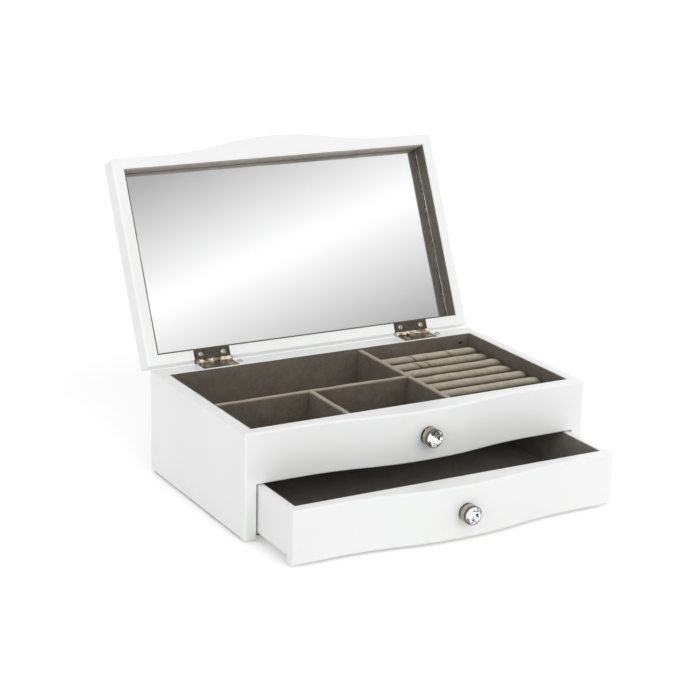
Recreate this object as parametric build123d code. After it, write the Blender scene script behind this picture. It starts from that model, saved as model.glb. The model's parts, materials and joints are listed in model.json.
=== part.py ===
"""A two-level jewellery box: hinged mirror lid, lined upper tray with ring rolls, and a lined drawer.

Frame: millimetres, +X to the right of someone facing the front, +Y to the back, +Z up.
The origin is on the table, under the middle of the case. The lid stands open on its hinge
stops and the drawer is part way out: every part is modelled shut, then moved to that pose.
"""

import os

from build123d import *

# ---- the case ----
width = 290.0             # over the two side panels
depth = 166.0             # back face to the flat ends of the front
tray_depth = 36.0         # from the deck panel up to the rim
wall = 9.0                # side panels, front board at its ends, lid rails
back_wall = 16.0          # the back panel is thicker: it takes the hinge screws
bulge = 9.3               # how far the serpentine front swells at its middle
straight_end = 45.0       # straight stretch of the front before each corner
felt = 1.5                # felt sheet under the case
felt_inset = 2.0
base_panel = 5.0
deck_panel = 3.0          # between the tray and the drawer
opening_height = 42.0     # drawer opening in the front board
outer_round = 1.8         # outer edges of the lacquered boards
opening_round = 1.2       # around the drawer opening
rim_chamfer = 0.4         # inner edge of the rim

# ---- the lid ----
lid_height = 18.0
lid_top = 4.0
rim_gap = 1.6             # between the rims with the lid shut
lid_angle = 115.0         # how far it opens
mirror = 2.0
mirror_play = 0.4         # around the glass

# ---- linings, dividers and ring rolls ----
lining = 1.2
lining_set_back = 0.3     # linings stop this far below a rim
divider = 5.0
divider_drop = 1.5        # dividers end this far below the rim
divider_round = 1.4
long_divider_x = 31.5
cross_divider_y = -9.5
short_divider_x = -54.5
roll_count = 7            # they fill the tray from back to front
roll_gap = 0.4            # between two rolls
roll_back_gap = 8.0       # from the back lining to the first roll
roll_front_gap = 5.0      # from the last roll to the front lining
roll_drop = 6.0           # tops of the rolls below the rim
roll_end_gap = 1.5        # rolls stop short of the right wall
roll_end_taper = 7.0      # how far from its end a roll starts to taper
roll_end_drop = 3.5       # how much it tapers
roll_seat_gap = 0.3

# ---- the drawer ----
drawer_out = 55.0         # how far it stands open
front_play = 0.8          # around the drawer front in its opening
front_lift = 0.6          # drawer front above the bottom of the legs
drawer_side = 5.0
drawer_inset = 0.6        # drawer sides stand in from the ends of the front
drawer_bottom = 3.0
drawer_lift = 0.4         # sliding clearance over the base panel
drawer_back_play = 2.0
shut_gap = 0.3            # drawer front to base panel when shut

# ---- hinges ----
hinge_from_end = 54.5     # middle of each hinge from the end of the box
hinge_width = 31.0
leaf = 1.0
leaf_land = 1.0           # wood left between a case leaf and the inner edge of the rim
barrel_radius = 2.2
pin_radius = 0.9
pin_clearance = 0.05
pin_end = 0.4             # pin stands out of each end of the barrel
axis_behind = 0.8         # hinge axis behind the back face
knuckle_count = 5
knuckle_gap = 0.25
sweep_clearance = 0.3     # between a barrel and what it turns in
stop_length = 7.0
stop_thickness = 1.2
stop_clearance = 0.05

# ---- screws ----
screw_radius = 1.1
screw_length = 8.0
screw_pilot = 8.5         # depth of the hole in the wood
screw_head_radius = 2.1
screw_head_crown = 0.45
screw_head_flat = 1.3     # radius of the flat on the crown
screw_spread = 9.7        # each screw from the middle of its hinge
lid_screw_from_back = 5.0
case_screw_from_back = 9.0

# ---- bumpers ----
bumper_radius = 2.6
bumper_clearance = 0.1    # under the shut lid
bumper_from_hinge = 3.4
bumper_from_back = 8.0

# ---- knobs ----
knob_flange_radius = 6.9
knob_flange = 1.4
knob_neck_radius = 5.2
knob_neck = 1.6
knob_cup_radius = 7.2
knob_cup = 6.0
knob_lip = 0.7            # metal around the crystal
knob_edge = 0.35          # broken edges of the turned metal
knob_bands = (1.8, 3.7)   # grooves round the cup, from its foot
knob_groove = 0.4         # half width of a groove
knob_groove_depth = 0.3
crystal_seat = 5.0        # depth of the cup in front of the neck
crystal_crown = 2.7
crystal_girdle = 0.7
crystal_table_radius = 3.3
crystal_pavilion = 3.6
crystal_sides = 8
crystal_play = 0.1
crystal_ledge = 0.5       # straight wall of the seat below the girdle
crown_inset = 0.985       # main facets start this share of the way out
star_share = 0.62         # slope of the star facets to that of the main facets
girdle_share = 1.35       # slope of the facets along the girdle to that of the main facets
knob_screw_radius = 1.9
knob_screw_head_radius = 3.6
knob_screw_head = 2.0
knob_screw_bite = 3.0     # thread inside the knob

# ---- derived levels and faces ----
half_width = width / 2
swell_reach = half_width - straight_end
front_y = -depth / 2
back_y = depth / 2
inner_x = half_width - wall
inner_front_y = front_y + wall
inner_back_y = back_y - back_wall
case_bottom = felt
opening_top = case_bottom + opening_height
deck_top = opening_top + deck_panel
tray_floor = deck_top + lining
rim_z = deck_top + tray_depth
lid_rim_z = rim_z + rim_gap
lid_panel_z = lid_rim_z + lid_height - lid_top
lid_inner_back_y = back_y - wall
mirror_z = lid_panel_z - mirror
axis_y = back_y + axis_behind
axis_z = rim_z + rim_gap / 2
sweep_radius = barrel_radius + sweep_clearance
hinge_axis = Axis((0, axis_y, axis_z), (1, 0, 0))
hinge_places = {"left": hinge_from_end - half_width, "right": half_width - hinge_from_end}
bumper_height = rim_gap - bumper_clearance
fascia_knob_z = (opening_top + rim_z) / 2
drawer_front_half = inner_x - front_play
drawer_front_bottom = case_bottom + front_lift
drawer_top = opening_top - front_play
drawer_knob_z = (drawer_front_bottom + drawer_top) / 2
drawer_outer_x = drawer_front_half - drawer_inset
drawer_inner_x = drawer_outer_x - drawer_side
drawer_underside = case_bottom + base_panel + drawer_lift
drawer_floor = drawer_underside + drawer_bottom
drawer_back_y = inner_back_y - drawer_back_play
lining_top = rim_z - lining_set_back
divider_top = rim_z - divider_drop


def block(x0, x1, y0, y1, z0, z1):
    """A box from its limits."""
    return Pos((x0 + x1) / 2, (y0 + y1) / 2, (z0 + z1) / 2) * Box(x1 - x0, y1 - y0, z1 - z0)


def serpentine_plan(half, rear_y):
    """Plan of a board or lid: straight back and ends, and a front that swells in the middle."""
    swell_y = front_y - bulge / 2
    outline = [
        Line((-half, front_y), (-swell_reach, front_y)),
        TangentArc((-swell_reach, front_y), (-swell_reach / 2, swell_y), tangent=(1, 0)),
        ThreePointArc(
            (-swell_reach / 2, swell_y), (0, front_y - bulge), (swell_reach / 2, swell_y)
        ),
        TangentArc((swell_reach, front_y), (swell_reach / 2, swell_y), tangent=(-1, 0)),
        Line((swell_reach, front_y), (half, front_y)),
        Polyline((half, front_y), (half, rear_y), (-half, rear_y), (-half, front_y)),
    ]
    return make_face(Curve() + outline)


def standing_board(half, rear_y, z0, z1):
    """The serpentine plan raised from z0 to z1, with its outer edges rounded."""
    solid = Pos(0, 0, z0) * extrude(serpentine_plan(half, rear_y), z1 - z0)
    solid = fillet(solid.edges().filter_by(Axis.Z), outer_round)
    ends = solid.edges().group_by(Axis.Z)
    return fillet(ends[0] + ends[-1], outer_round)


def rod(radius, length, start, direction):
    """A round bar from a point along a direction."""
    return Plane(origin=start, z_dir=direction) * Cylinder(
        radius, length, align=(Align.CENTER, Align.CENTER, Align.MIN)
    )


def open_lid(shape):
    """Turn a lid piece from shut to open."""
    return shape.rotate(hinge_axis, -lid_angle)


def pull_drawer(shape):
    """Bring a drawer piece forward to where it stands."""
    return Pos(0, -drawer_out, 0) * shape


# ---------------------------------------------------------------- screws and hinges


def wood_screw():
    """A raised countersunk screw along -Z, its head's edge at z = 0."""
    profile = Polyline(
        (0, -screw_length),
        (screw_radius, -screw_length + 2 * screw_radius),
        (screw_radius, screw_radius - screw_head_radius),
        (screw_head_radius, 0),
        (screw_head_flat, screw_head_crown),
        (0, screw_head_crown),
        (0, -screw_length),
    )
    return revolve(make_face(Plane.XZ * profile), Axis.Z)


def screw_hole():
    """Countersink and pilot hole along -Z, as cut in a leaf and in the wood under it."""
    profile = Polyline(
        (0, -screw_pilot),
        (screw_radius, -screw_pilot),
        (screw_radius, screw_radius - screw_head_radius),
        (screw_head_radius, 0),
        (0, 0),
        (0, -screw_pilot),
    )
    return revolve(make_face(Plane.XZ * profile), Axis.Z)


def case_screw_places(x):
    """Where the two screws of a case leaf sit, heads up."""
    return [Pos(x + s, back_y - case_screw_from_back, rim_z) for s in (-screw_spread, screw_spread)]


def lid_screw_places(x):
    """Where the two screws of a lid leaf sit with the lid shut, heads down."""
    return [
        Pos(x + s, back_y - lid_screw_from_back, lid_rim_z) * Rot(180, 0, 0)
        for s in (-screw_spread, screw_spread)
    ]


def knuckles(x, parity):
    """Barrel stretches of one leaf: the even ones belong to the case, the odd ones to the lid."""
    pitch = hinge_width / knuckle_count
    spans = []
    for i in range(knuckle_count):
        if i % 2 == parity:
            start = x - hinge_width / 2 + i * pitch
            left = start + (knuckle_gap / 2 if i else 0)
            right = start + pitch - (knuckle_gap / 2 if i < knuckle_count - 1 else 0)
            spans.append((left, right))
    return spans


def barrel(spans, radius):
    """Round stretches on the hinge axis."""
    bars = [rod(radius, right - left, (left, axis_y, axis_z), (1, 0, 0)) for left, right in spans]
    return Part() + bars


def leaf_solid(x, parity, plate, holes):
    """A hinge leaf: its plate cut back round the other leaf's knuckles, its own knuckles and holes."""
    others = [(left - knuckle_gap, right + knuckle_gap) for left, right in knuckles(x, 1 - parity)]
    solid = plate - barrel(others, sweep_radius)
    solid += barrel(knuckles(x, parity), barrel_radius)
    bore = pin_radius + pin_clearance
    solid -= rod(bore, hinge_width + 2, (x - hinge_width / 2 - 1, axis_y, axis_z), (1, 0, 0))
    for hole in holes:
        solid -= hole
    return solid


def stop_lip(x):
    """The tail of the middle knuckle, lying along the lid's back face when the lid is open."""
    middle = knuckle_count // 2
    pitch = hinge_width / knuckle_count
    lip_width = pitch - knuckle_gap
    top = -axis_behind + stop_clearance
    tail = block(0, lip_width, top, top + stop_thickness, 0, stop_length)
    left = x - hinge_width / 2 + middle * pitch + knuckle_gap / 2
    return Pos(left, axis_y, axis_z) * Rot(-lid_angle, 0, 0) * tail


def case_leaf(x):
    """The leaf let into the top of the back panel, with the stop lip on its middle knuckle."""
    plate = block(
        x - hinge_width / 2, x + hinge_width / 2,
        inner_back_y + leaf_land, axis_y,
        rim_z - leaf, rim_z,
    )
    holes = [place * screw_hole() for place in case_screw_places(x)]
    solid = leaf_solid(x, 0, plate, holes) + stop_lip(x)
    bore = pin_radius + pin_clearance
    return solid - rod(bore, hinge_width + 2, (x - hinge_width / 2 - 1, axis_y, axis_z), (1, 0, 0))


def lid_leaf(x):
    """The leaf let into the rim of the lid's rear rail, over its whole depth, with the lid shut."""
    plate = block(
        x - hinge_width / 2, x + hinge_width / 2,
        lid_inner_back_y, axis_y,
        lid_rim_z, lid_rim_z + leaf,
    )
    holes = [place * screw_hole() for place in lid_screw_places(x)]
    return leaf_solid(x, 1, plate, holes)


def hinge_pin(x):
    """The pin through both leaves."""
    left_end = x - hinge_width / 2 - pin_end
    return rod(pin_radius, hinge_width + 2 * pin_end, (left_end, axis_y, axis_z), (1, 0, 0))


def mortise(x, front_edge_y, z0, z1):
    """What a leaf and the barrel need cut out of the wood."""
    left, right = x - hinge_width / 2, x + hinge_width / 2
    seat = block(left, right, front_edge_y, axis_y, z0, z1)
    run = rod(
        sweep_radius, hinge_width + 2 * pin_end + 2 * sweep_clearance,
        (left - pin_end - sweep_clearance, axis_y, axis_z), (1, 0, 0),
    )
    return seat + run


# ---------------------------------------------------------------- knobs


def knob_cup_solid():
    """The turned metal knob along +Z from the wood at z = 0: flange, neck, cup and crystal seat."""
    neck_top = knob_flange + knob_neck
    cup_top = neck_top + knob_cup
    seat_radius = knob_cup_radius - knob_lip
    turned = [
        (0, 0), (knob_flange_radius, 0), (knob_flange_radius, knob_flange - knob_edge),
        (knob_flange_radius - knob_edge, knob_flange), (knob_neck_radius, knob_flange),
        (knob_neck_radius, neck_top), (knob_cup_radius, neck_top),
    ]
    for band in knob_bands:
        turned += [
            (knob_cup_radius, neck_top + band - knob_groove),
            (knob_cup_radius - knob_groove_depth, neck_top + band),
            (knob_cup_radius, neck_top + band + knob_groove),
        ]
    turned += [
        (knob_cup_radius, cup_top - knob_edge), (knob_cup_radius - knob_edge, cup_top),
        (seat_radius, cup_top), (seat_radius, cup_top - crystal_girdle - crystal_ledge),
        (0, cup_top - crystal_seat), (0, 0),
    ]
    solid = revolve(make_face(Plane.XZ * Polyline(*turned)), Axis.Z)
    bore = Cylinder(knob_screw_radius, knob_screw_bite, align=(Align.CENTER, Align.CENTER, Align.MIN))
    return solid - bore


def angle_of(slope):
    """The angle in degrees whose tangent is the slope."""
    return Vector(1, 0, 0).get_angle(Vector(1, slope, 0))


def planed(solid, turn, reach, level, slope, side):
    """Grind one flat facet through (reach, level), above it for side 1 and below it for side -1."""
    far = 8 * reach
    stone = Pos(reach, 0, level) * Rot(0, side * angle_of(slope), 0) * Pos(0, 0, side * far / 2)
    return solid - Rot(0, 0, turn) * stone * Box(2 * far, 2 * far, far)


def crystal_solid():
    """A brilliant-cut crystal along +Z, its girdle top at z = 0: table, crown and pavilion facets."""
    radius = knob_cup_radius - knob_lip - crystal_play
    below = crystal_girdle + crystal_pavilion
    solid = Pos(0, 0, -below) * Cylinder(
        radius, below + crystal_crown, align=(Align.CENTER, Align.CENTER, Align.MIN)
    )
    step = 360 / crystal_sides
    crown_slope = crystal_crown / (radius - crystal_table_radius)
    for i in range(crystal_sides):
        solid = planed(solid, i * step, radius * crown_inset, 0, crown_slope, 1)
        solid = planed(
            solid, (i + 0.5) * step, crystal_table_radius, crystal_crown, star_share * crown_slope, 1
        )
        solid = planed(solid, i * step, radius, -crystal_girdle, crystal_pavilion / radius, -1)
    for i in range(2 * crystal_sides):
        solid = planed(solid, (i + 0.5) * step / 2, radius, 0, girdle_share * crown_slope, 1)
    return solid


def knob_screw_solid(board):
    """A flat-head screw along +Z through a board and into the knob, its head flush at z = -board."""
    head = Cone(
        knob_screw_head_radius, knob_screw_radius, knob_screw_head,
        align=(Align.CENTER, Align.CENTER, Align.MIN),
    )
    shank = Cylinder(
        knob_screw_radius, board + knob_screw_bite, align=(Align.CENTER, Align.CENTER, Align.MIN)
    )
    return Pos(0, 0, -board) * (head + shank)


def knob_pieces(z):
    """Cup, crystal and screw of a knob on the crown of the serpentine front, at height z."""
    place = Pos(0, front_y - bulge, z) * Rot(90, 0, 0)
    cup_top = knob_flange + knob_neck + knob_cup
    cup = place * knob_cup_solid()
    crystal = place * Pos(0, 0, cup_top) * crystal_solid()
    screw = place * knob_screw_solid(bulge + wall)
    return cup, crystal, screw


# ---------------------------------------------------------------- the case


def hollow_case():
    """The lacquered carcass in one: rounded outside, open tray above, open drawer bay below."""
    solid = standing_board(half_width, back_y, case_bottom, rim_z)
    solid -= block(-inner_x, inner_x, inner_front_y, inner_back_y, 0, rim_z + 1)
    rim = solid.edges().filter_by_position(Axis.Z, rim_z - 0.01, rim_z + 0.01)
    inner_rim = rim.filter_by(
        lambda e: abs(e.center().X) <= inner_x + 0.01
        and inner_front_y - 0.01 <= e.center().Y <= inner_back_y + 0.01
    )
    return chamfer(inner_rim, rim_chamfer)


def front_board(carcass):
    """Fascia and legs in one board, cut out from below for the drawer."""
    board = carcass & block(-width, width, -depth, inner_front_y, 0, 2 * rim_z)
    board -= block(-inner_x, inner_x, -depth, inner_front_y + 1, 0, opening_top)
    edges = board.edges().filter_by(lambda e: e.center().Y < inner_front_y - wall / 2)
    head = edges.filter_by_position(Axis.Z, opening_top - 0.01, opening_top + 0.01)
    legs = edges.filter_by(Axis.Z).filter_by(
        lambda e: abs(abs(e.center().X) - inner_x) < 0.01 and e.center().Z < opening_top
    )
    return fillet(head + legs, opening_round)


def case_boards():
    """The carcass parted into its boards."""
    carcass = hollow_case()
    behind = (inner_front_y, depth)
    left = carcass & block(-width, -inner_x, *behind, 0, 2 * rim_z)
    right = carcass & block(inner_x, width, *behind, 0, 2 * rim_z)
    back = carcass & block(-inner_x, inner_x, inner_back_y - 1, depth, 0, 2 * rim_z)
    for x in hinge_places.values():
        back -= mortise(x, inner_back_y + leaf_land, rim_z - leaf, rim_z + 1)
        for place in case_screw_places(x):
            back -= place * screw_hole()
    return {
        "case_left_side": left,
        "case_right_side": right,
        "case_back_panel": back,
        "case_front_board": front_board(carcass),
    }


def case_inside():
    """Base and deck panels, and the felt under the case."""
    across = (-inner_x, inner_x)
    return {
        "case_base_panel": block(
            *across, inner_front_y + shut_gap, inner_back_y, case_bottom, case_bottom + base_panel
        ),
        "tray_deck_panel": block(*across, inner_front_y, inner_back_y, opening_top, deck_top),
        "base_felt_sheet": block(
            -half_width + felt_inset, half_width - felt_inset,
            inner_front_y + felt_inset, back_y - felt_inset, 0, felt,
        ),
    }


def lid_bumpers():
    """A soft clear dot on the back rim beside each hinge, which the shut lid rests on."""
    dome_radius = (bumper_radius**2 + bumper_height**2) / (2 * bumper_height)
    ball = Pos(0, 0, bumper_height - dome_radius) * Sphere(dome_radius)
    dome = ball & Cylinder(dome_radius, bumper_height, align=(Align.CENTER, Align.CENTER, Align.MIN))
    dots = []
    for x in hinge_places.values():
        dot_x = x + hinge_width / 2 + bumper_from_hinge
        dots.append(Pos(dot_x, back_y - bumper_from_back, rim_z) * dome)
    return Compound(dots)


# ---------------------------------------------------------------- tray


def tray_linings():
    """Velvet-covered card on the floor and the four walls of the tray."""
    x, y0, y1 = inner_x, inner_front_y, inner_back_y
    return {
        "tray_lining_floor": block(-x, x, y0, y1, deck_top, tray_floor),
        "tray_lining_left": block(-x, -x + lining, y0, y1, tray_floor, lining_top),
        "tray_lining_right": block(x - lining, x, y0, y1, tray_floor, lining_top),
        "tray_lining_front": block(
            -x + lining, x - lining, y0, y0 + lining, tray_floor, lining_top
        ),
        "tray_lining_back": block(-x + lining, x - lining, y1 - lining, y1, tray_floor, lining_top),
    }


def divider_board(x0, x1, y0, y1, along):
    """An upright divider with a softly rounded top edge."""
    board = block(x0, x1, y0, y1, tray_floor, divider_top)
    top = board.edges().group_by(Axis.Z)[-1].filter_by(along)
    return fillet(top, divider_round)


def dividers():
    """One divider from back to front, one across the left part, and a short one in front of it."""
    x0 = -inner_x + lining
    y0, y1 = inner_front_y + lining, inner_back_y - lining
    half = divider / 2
    return {
        "long_divider": divider_board(long_divider_x - half, long_divider_x + half, y0, y1, Axis.Y),
        "cross_divider": divider_board(
            x0, long_divider_x - half, cross_divider_y - half, cross_divider_y + half, Axis.X
        ),
        "short_divider": divider_board(
            short_divider_x - half, short_divider_x + half, y0, cross_divider_y - half, Axis.Y
        ),
    }


def ring_rolls():
    """A row of round foam rolls on a raised platform, right of the long divider."""
    x0 = long_divider_x + divider / 2
    x1 = inner_x - lining
    y0, y1 = inner_front_y + lining, inner_back_y - lining
    roll_x0, roll_x1 = x0 + roll_seat_gap, x1 - roll_end_gap
    row = y1 - y0 - roll_back_gap - roll_front_gap
    radius = (row - (roll_count - 1) * roll_gap) / roll_count / 2
    centre_z = rim_z - roll_drop - radius
    platform_top = centre_z - radius - roll_seat_gap
    pieces = {"ring_roll_platform": block(x0, x1, y0, y1, tray_floor, platform_top)}
    for i in range(roll_count):
        y = y1 - roll_back_gap - radius - i * (2 * radius + roll_gap)
        roll = rod(radius, roll_x1 - roll_x0, (roll_x0, y, centre_z), (1, 0, 0))
        far_end = roll.faces().sort_by(Axis.X)[-1]
        skin = roll.faces().filter_by(GeomType.CYLINDER)[0]
        pieces[f"ring_roll_{i + 1}"] = chamfer(
            far_end.edges(), roll_end_taper, roll_end_drop, reference=skin
        )
    return pieces


# ---------------------------------------------------------------- the lid


def lid_boards():
    """The lid parted into its top panel and four rails, with the lid shut."""
    z0, z1 = lid_rim_z, lid_rim_z + lid_height
    solid = standing_board(half_width, back_y, z0, z1)
    solid -= block(-inner_x, inner_x, inner_front_y, lid_inner_back_y, z0 - 1, lid_panel_z)
    top = solid & block(-width, width, -depth, depth, lid_panel_z, z1 + 1)
    frame = solid & block(-width, width, -depth, depth, z0 - 1, lid_panel_z)
    tall = (z0 - 1, z1 + 1)
    rear = frame & block(-width, width, lid_inner_back_y, depth, *tall)
    for x in hinge_places.values():
        rear -= mortise(x, lid_inner_back_y - 1, lid_rim_z - 1, lid_rim_z + leaf)
        for place in lid_screw_places(x):
            rear -= place * screw_hole()
    return {
        "lid_top_panel": top,
        "lid_front_rail": frame & block(-width, width, -depth, inner_front_y, *tall),
        "lid_rear_rail": rear,
        "lid_left_rail": frame & block(-width, -inner_x, inner_front_y, lid_inner_back_y, *tall),
        "lid_right_rail": frame & block(inner_x, width, inner_front_y, lid_inner_back_y, *tall),
    }


def lid_inside():
    """The mirror under the top panel, and velvet strips round the recess."""
    x, y0, y1 = inner_x, inner_front_y, lid_inner_back_y
    z0, z1 = lid_rim_z + lining_set_back, mirror_z
    play = mirror_play
    return {
        "mirror_glass": block(-x + play, x - play, y0 + play, y1 - play, mirror_z, lid_panel_z),
        "lid_lining_left": block(-x, -x + lining, y0, y1, z0, z1),
        "lid_lining_right": block(x - lining, x, y0, y1, z0, z1),
        "lid_lining_front": block(-x + lining, x - lining, y0, y0 + lining, z0, z1),
        "lid_lining_rear": block(-x + lining, x - lining, y1 - lining, y1, z0, z1),
    }


# ---------------------------------------------------------------- the drawer


def drawer_front_board():
    """The serpentine drawer front, which fills the opening when shut: rounded before, square behind."""
    board = standing_board(
        drawer_front_half, inner_front_y + 2 * outer_round, drawer_front_bottom, drawer_top
    )
    return board & block(-width, width, -depth, inner_front_y, 0, rim_z)


def drawer_box():
    """Sides, back and bottom of the drawer, behind its front."""
    x1, x0 = drawer_outer_x, drawer_inner_x
    y0, y1 = inner_front_y, drawer_back_y
    z0, z1 = drawer_underside, drawer_top
    return {
        "drawer_left_side": block(-x1, -x0, y0, y1, z0, z1),
        "drawer_right_side": block(x0, x1, y0, y1, z0, z1),
        "drawer_back": block(-x0, x0, y1 - drawer_side, y1, z0, z1),
        "drawer_bottom": block(-x0, x0, y0, y1 - drawer_side, z0, drawer_floor),
    }


def drawer_linings():
    """Velvet-covered card inside the drawer."""
    x = drawer_inner_x
    y0, y1 = inner_front_y, drawer_back_y - drawer_side
    z0, z1 = drawer_floor + lining, drawer_top - lining_set_back
    return {
        "drawer_lining_floor": block(-x, x, y0, y1, drawer_floor, z0),
        "drawer_lining_left": block(-x, -x + lining, y0, y1, z0, z1),
        "drawer_lining_right": block(x - lining, x, y0, y1, z0, z1),
        "drawer_lining_front": block(-x + lining, x - lining, y0, y0 + lining, z0, z1),
        "drawer_lining_back": block(-x + lining, x - lining, y1 - lining, y1, z0, z1),
    }


# ---------------------------------------------------------------- putting it together


def case_nodes():
    """Everything that stays with the case."""
    nodes = {**case_boards(), **case_inside(), **tray_linings(), **dividers(), **ring_rolls()}
    cup, crystal, screw = knob_pieces(fascia_knob_z)
    nodes["case_front_board"] -= screw
    nodes.update(fascia_knob_cup=cup, fascia_knob_crystal=crystal, fascia_knob_screw=screw)
    for side, x in hinge_places.items():
        nodes[f"hinge_{side}_case_leaf"] = case_leaf(x)
        nodes[f"hinge_{side}_pin"] = hinge_pin(x)
    screws = [p * wood_screw() for x in hinge_places.values() for p in case_screw_places(x)]
    nodes["case_hinge_screws"] = Compound(screws)
    nodes["lid_bumpers"] = lid_bumpers()
    return nodes


def lid_nodes():
    """Everything that turns with the lid, opened."""
    nodes = {**lid_boards(), **lid_inside()}
    for side, x in hinge_places.items():
        nodes[f"hinge_{side}_lid_leaf"] = lid_leaf(x)
    screws = [p * wood_screw() for x in hinge_places.values() for p in lid_screw_places(x)]
    nodes["lid_hinge_screws"] = Compound(screws)
    return {name: open_lid(shape) for name, shape in nodes.items()}


def drawer_nodes():
    """Everything that slides with the drawer, pulled out."""
    cup, crystal, screw = knob_pieces(drawer_knob_z)
    nodes = {"drawer_front": drawer_front_board() - screw, **drawer_box(), **drawer_linings()}
    nodes.update(drawer_knob_cup=cup, drawer_knob_crystal=crystal, drawer_knob_screw=screw)
    return {name: pull_drawer(shape) for name, shape in nodes.items()}


def main():
    os.makedirs("parts", exist_ok=True)
    nodes = {**case_nodes(), **lid_nodes(), **drawer_nodes()}
    for name, shape in nodes.items():
        export_step(shape, f"parts/{name}.step")


main()
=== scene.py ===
import json
import math

import bmesh
import bpy
from mathutils import Matrix, Vector, noise


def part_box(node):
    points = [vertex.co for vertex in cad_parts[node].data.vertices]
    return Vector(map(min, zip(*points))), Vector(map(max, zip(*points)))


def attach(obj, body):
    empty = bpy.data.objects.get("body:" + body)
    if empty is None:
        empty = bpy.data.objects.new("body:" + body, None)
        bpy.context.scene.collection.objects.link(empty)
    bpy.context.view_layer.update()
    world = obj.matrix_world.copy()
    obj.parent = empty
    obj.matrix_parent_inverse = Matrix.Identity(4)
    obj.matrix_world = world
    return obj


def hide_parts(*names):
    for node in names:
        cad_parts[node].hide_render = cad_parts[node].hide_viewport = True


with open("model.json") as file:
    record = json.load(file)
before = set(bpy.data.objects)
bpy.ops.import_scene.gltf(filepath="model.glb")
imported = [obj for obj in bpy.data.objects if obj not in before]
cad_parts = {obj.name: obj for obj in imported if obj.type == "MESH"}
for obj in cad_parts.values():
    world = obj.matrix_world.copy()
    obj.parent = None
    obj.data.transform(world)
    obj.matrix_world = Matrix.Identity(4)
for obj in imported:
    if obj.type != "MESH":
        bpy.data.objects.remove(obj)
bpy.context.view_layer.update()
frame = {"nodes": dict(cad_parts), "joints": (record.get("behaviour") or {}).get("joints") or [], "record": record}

MM = 0.001
record = frame["record"]
joints = {joint["name"]: joint for joint in frame["joints"]}
node_body = {
    node: body
    for body, members in record["behaviour"]["bodies"].items()
    for node in members
}

# The lid is modelled shut and then turned open about its hinge pins.
hinge_line = Vector(joints["lid_hinge"]["pos_m"])
lid_angle = math.radians(joints["lid_hinge"]["range_deg"][0])
lid_open = (
    Matrix.Translation(hinge_line)
    @ Matrix.Rotation(lid_angle, 4, "X")
    @ Matrix.Translation(-hinge_line)
)
lid_shut = lid_open.inverted()
STANDING = Matrix.Identity(4)


# ------------------------------------------------------------------ camera


def aim_camera():
    """The camera, low in front of the box and to its left."""
    azimuth = math.radians(-30.022)
    elevation = math.radians(17.19)
    roll = math.radians(1.461)
    distance = 1.47712
    target = Vector((0.00076, 0.00390, 0.08988))
    back = Vector((
        math.sin(azimuth) * math.cos(elevation),
        -math.cos(azimuth) * math.cos(elevation),
        math.sin(elevation),
    ))
    level_right = (-back).cross(Vector((0, 0, 1))).normalized()
    level_up = level_right.cross(-back)
    right = level_right * math.cos(roll) + level_up * math.sin(roll)
    up = level_up * math.cos(roll) - level_right * math.sin(roll)
    data = bpy.data.cameras.new("studio_camera")
    data.sensor_width = 36
    data.lens = 98.695
    data.shift_x = -0.0225
    data.shift_y = 0.0211
    data.clip_start = 0.05
    data.clip_end = 60
    camera = bpy.data.objects.new("studio_camera", data)
    turn = Matrix((right, up, back)).transposed().to_4x4()
    camera.matrix_world = Matrix.Translation(target + back * distance) @ turn
    bpy.context.scene.collection.objects.link(camera)
    bpy.context.scene.camera = camera
    return camera


camera = aim_camera()


# ------------------------------------------------------------------ finishes


class Finish:
    """A procedural material and the nodes that make it."""

    def __init__(self, name):
        self.material = bpy.data.materials.new(name)
        self.material.use_nodes = True
        self.tree = self.material.node_tree
        self.shader = self.tree.nodes["Principled BSDF"]
        self.place = self.add("ShaderNodeTexCoord").outputs["Object"]

    def add(self, kind, inputs=None, **settings):
        """A node with its settings made and its sockets set or linked."""
        node = self.tree.nodes.new(kind)
        for key, value in settings.items():
            setattr(node, key, value)
        for key, value in (inputs or {}).items():
            self.put(node.inputs[key], value)
        return node

    def put(self, socket, value):
        """Sets a socket to a constant, or links an output to it."""
        if isinstance(value, bpy.types.NodeSocket):
            self.tree.links.new(value, socket)
        else:
            socket.default_value = value

    def set(self, **values):
        """Sets the shader's own sockets, named with underscores for spaces."""
        for key, value in values.items():
            self.put(self.shader.inputs[key.replace("_", " ")], value)

    def cloud(self, scale, detail=2.0, roughness=0.5, distortion=0.0, place=None):
        """Soft noise whose patches are about 1/scale metres across."""
        inputs = {
            "Vector": place or self.place,
            "Scale": scale,
            "Detail": detail,
            "Roughness": roughness,
            "Distortion": distortion,
        }
        return self.add("ShaderNodeTexNoise", inputs).outputs["Fac"]

    def spread(self, value, low, high, out_low=0.0, out_high=1.0):
        """Stretches a value from one range to another."""
        inputs = {
            "Value": value,
            "From Min": low,
            "From Max": high,
            "To Min": out_low,
            "To Max": out_high,
        }
        return self.add("ShaderNodeMapRange", inputs).outputs["Result"]

    def sum(self, first, second, operation="ADD"):
        """Two values added, or joined by another operation."""
        node = self.add("ShaderNodeMath", operation=operation)
        self.put(node.inputs[0], first)
        self.put(node.inputs[1], second)
        return node.outputs[0]

    def mix(self, amount, first, second, blend="MIX"):
        """Two colours mixed by an amount."""
        node = self.add("ShaderNodeMix", data_type="RGBA", blend_type=blend)
        colours = [s for s in node.inputs if s.type == "RGBA"]
        self.put(node.inputs[0], amount)
        for socket, value in zip(colours, (first, second)):
            if isinstance(value, tuple):
                value = (*value, 1.0)
            self.put(socket, value)
        return next(s for s in node.outputs if s.type == "RGBA")

    def bump(self, height, depth, strength=1.0, normal=None):
        """A bump of a given depth in metres."""
        inputs = {"Strength": strength, "Distance": depth, "Height": height}
        if normal is not None:
            inputs["Normal"] = normal
        return self.add("ShaderNodeBump", inputs).outputs["Normal"]


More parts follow.
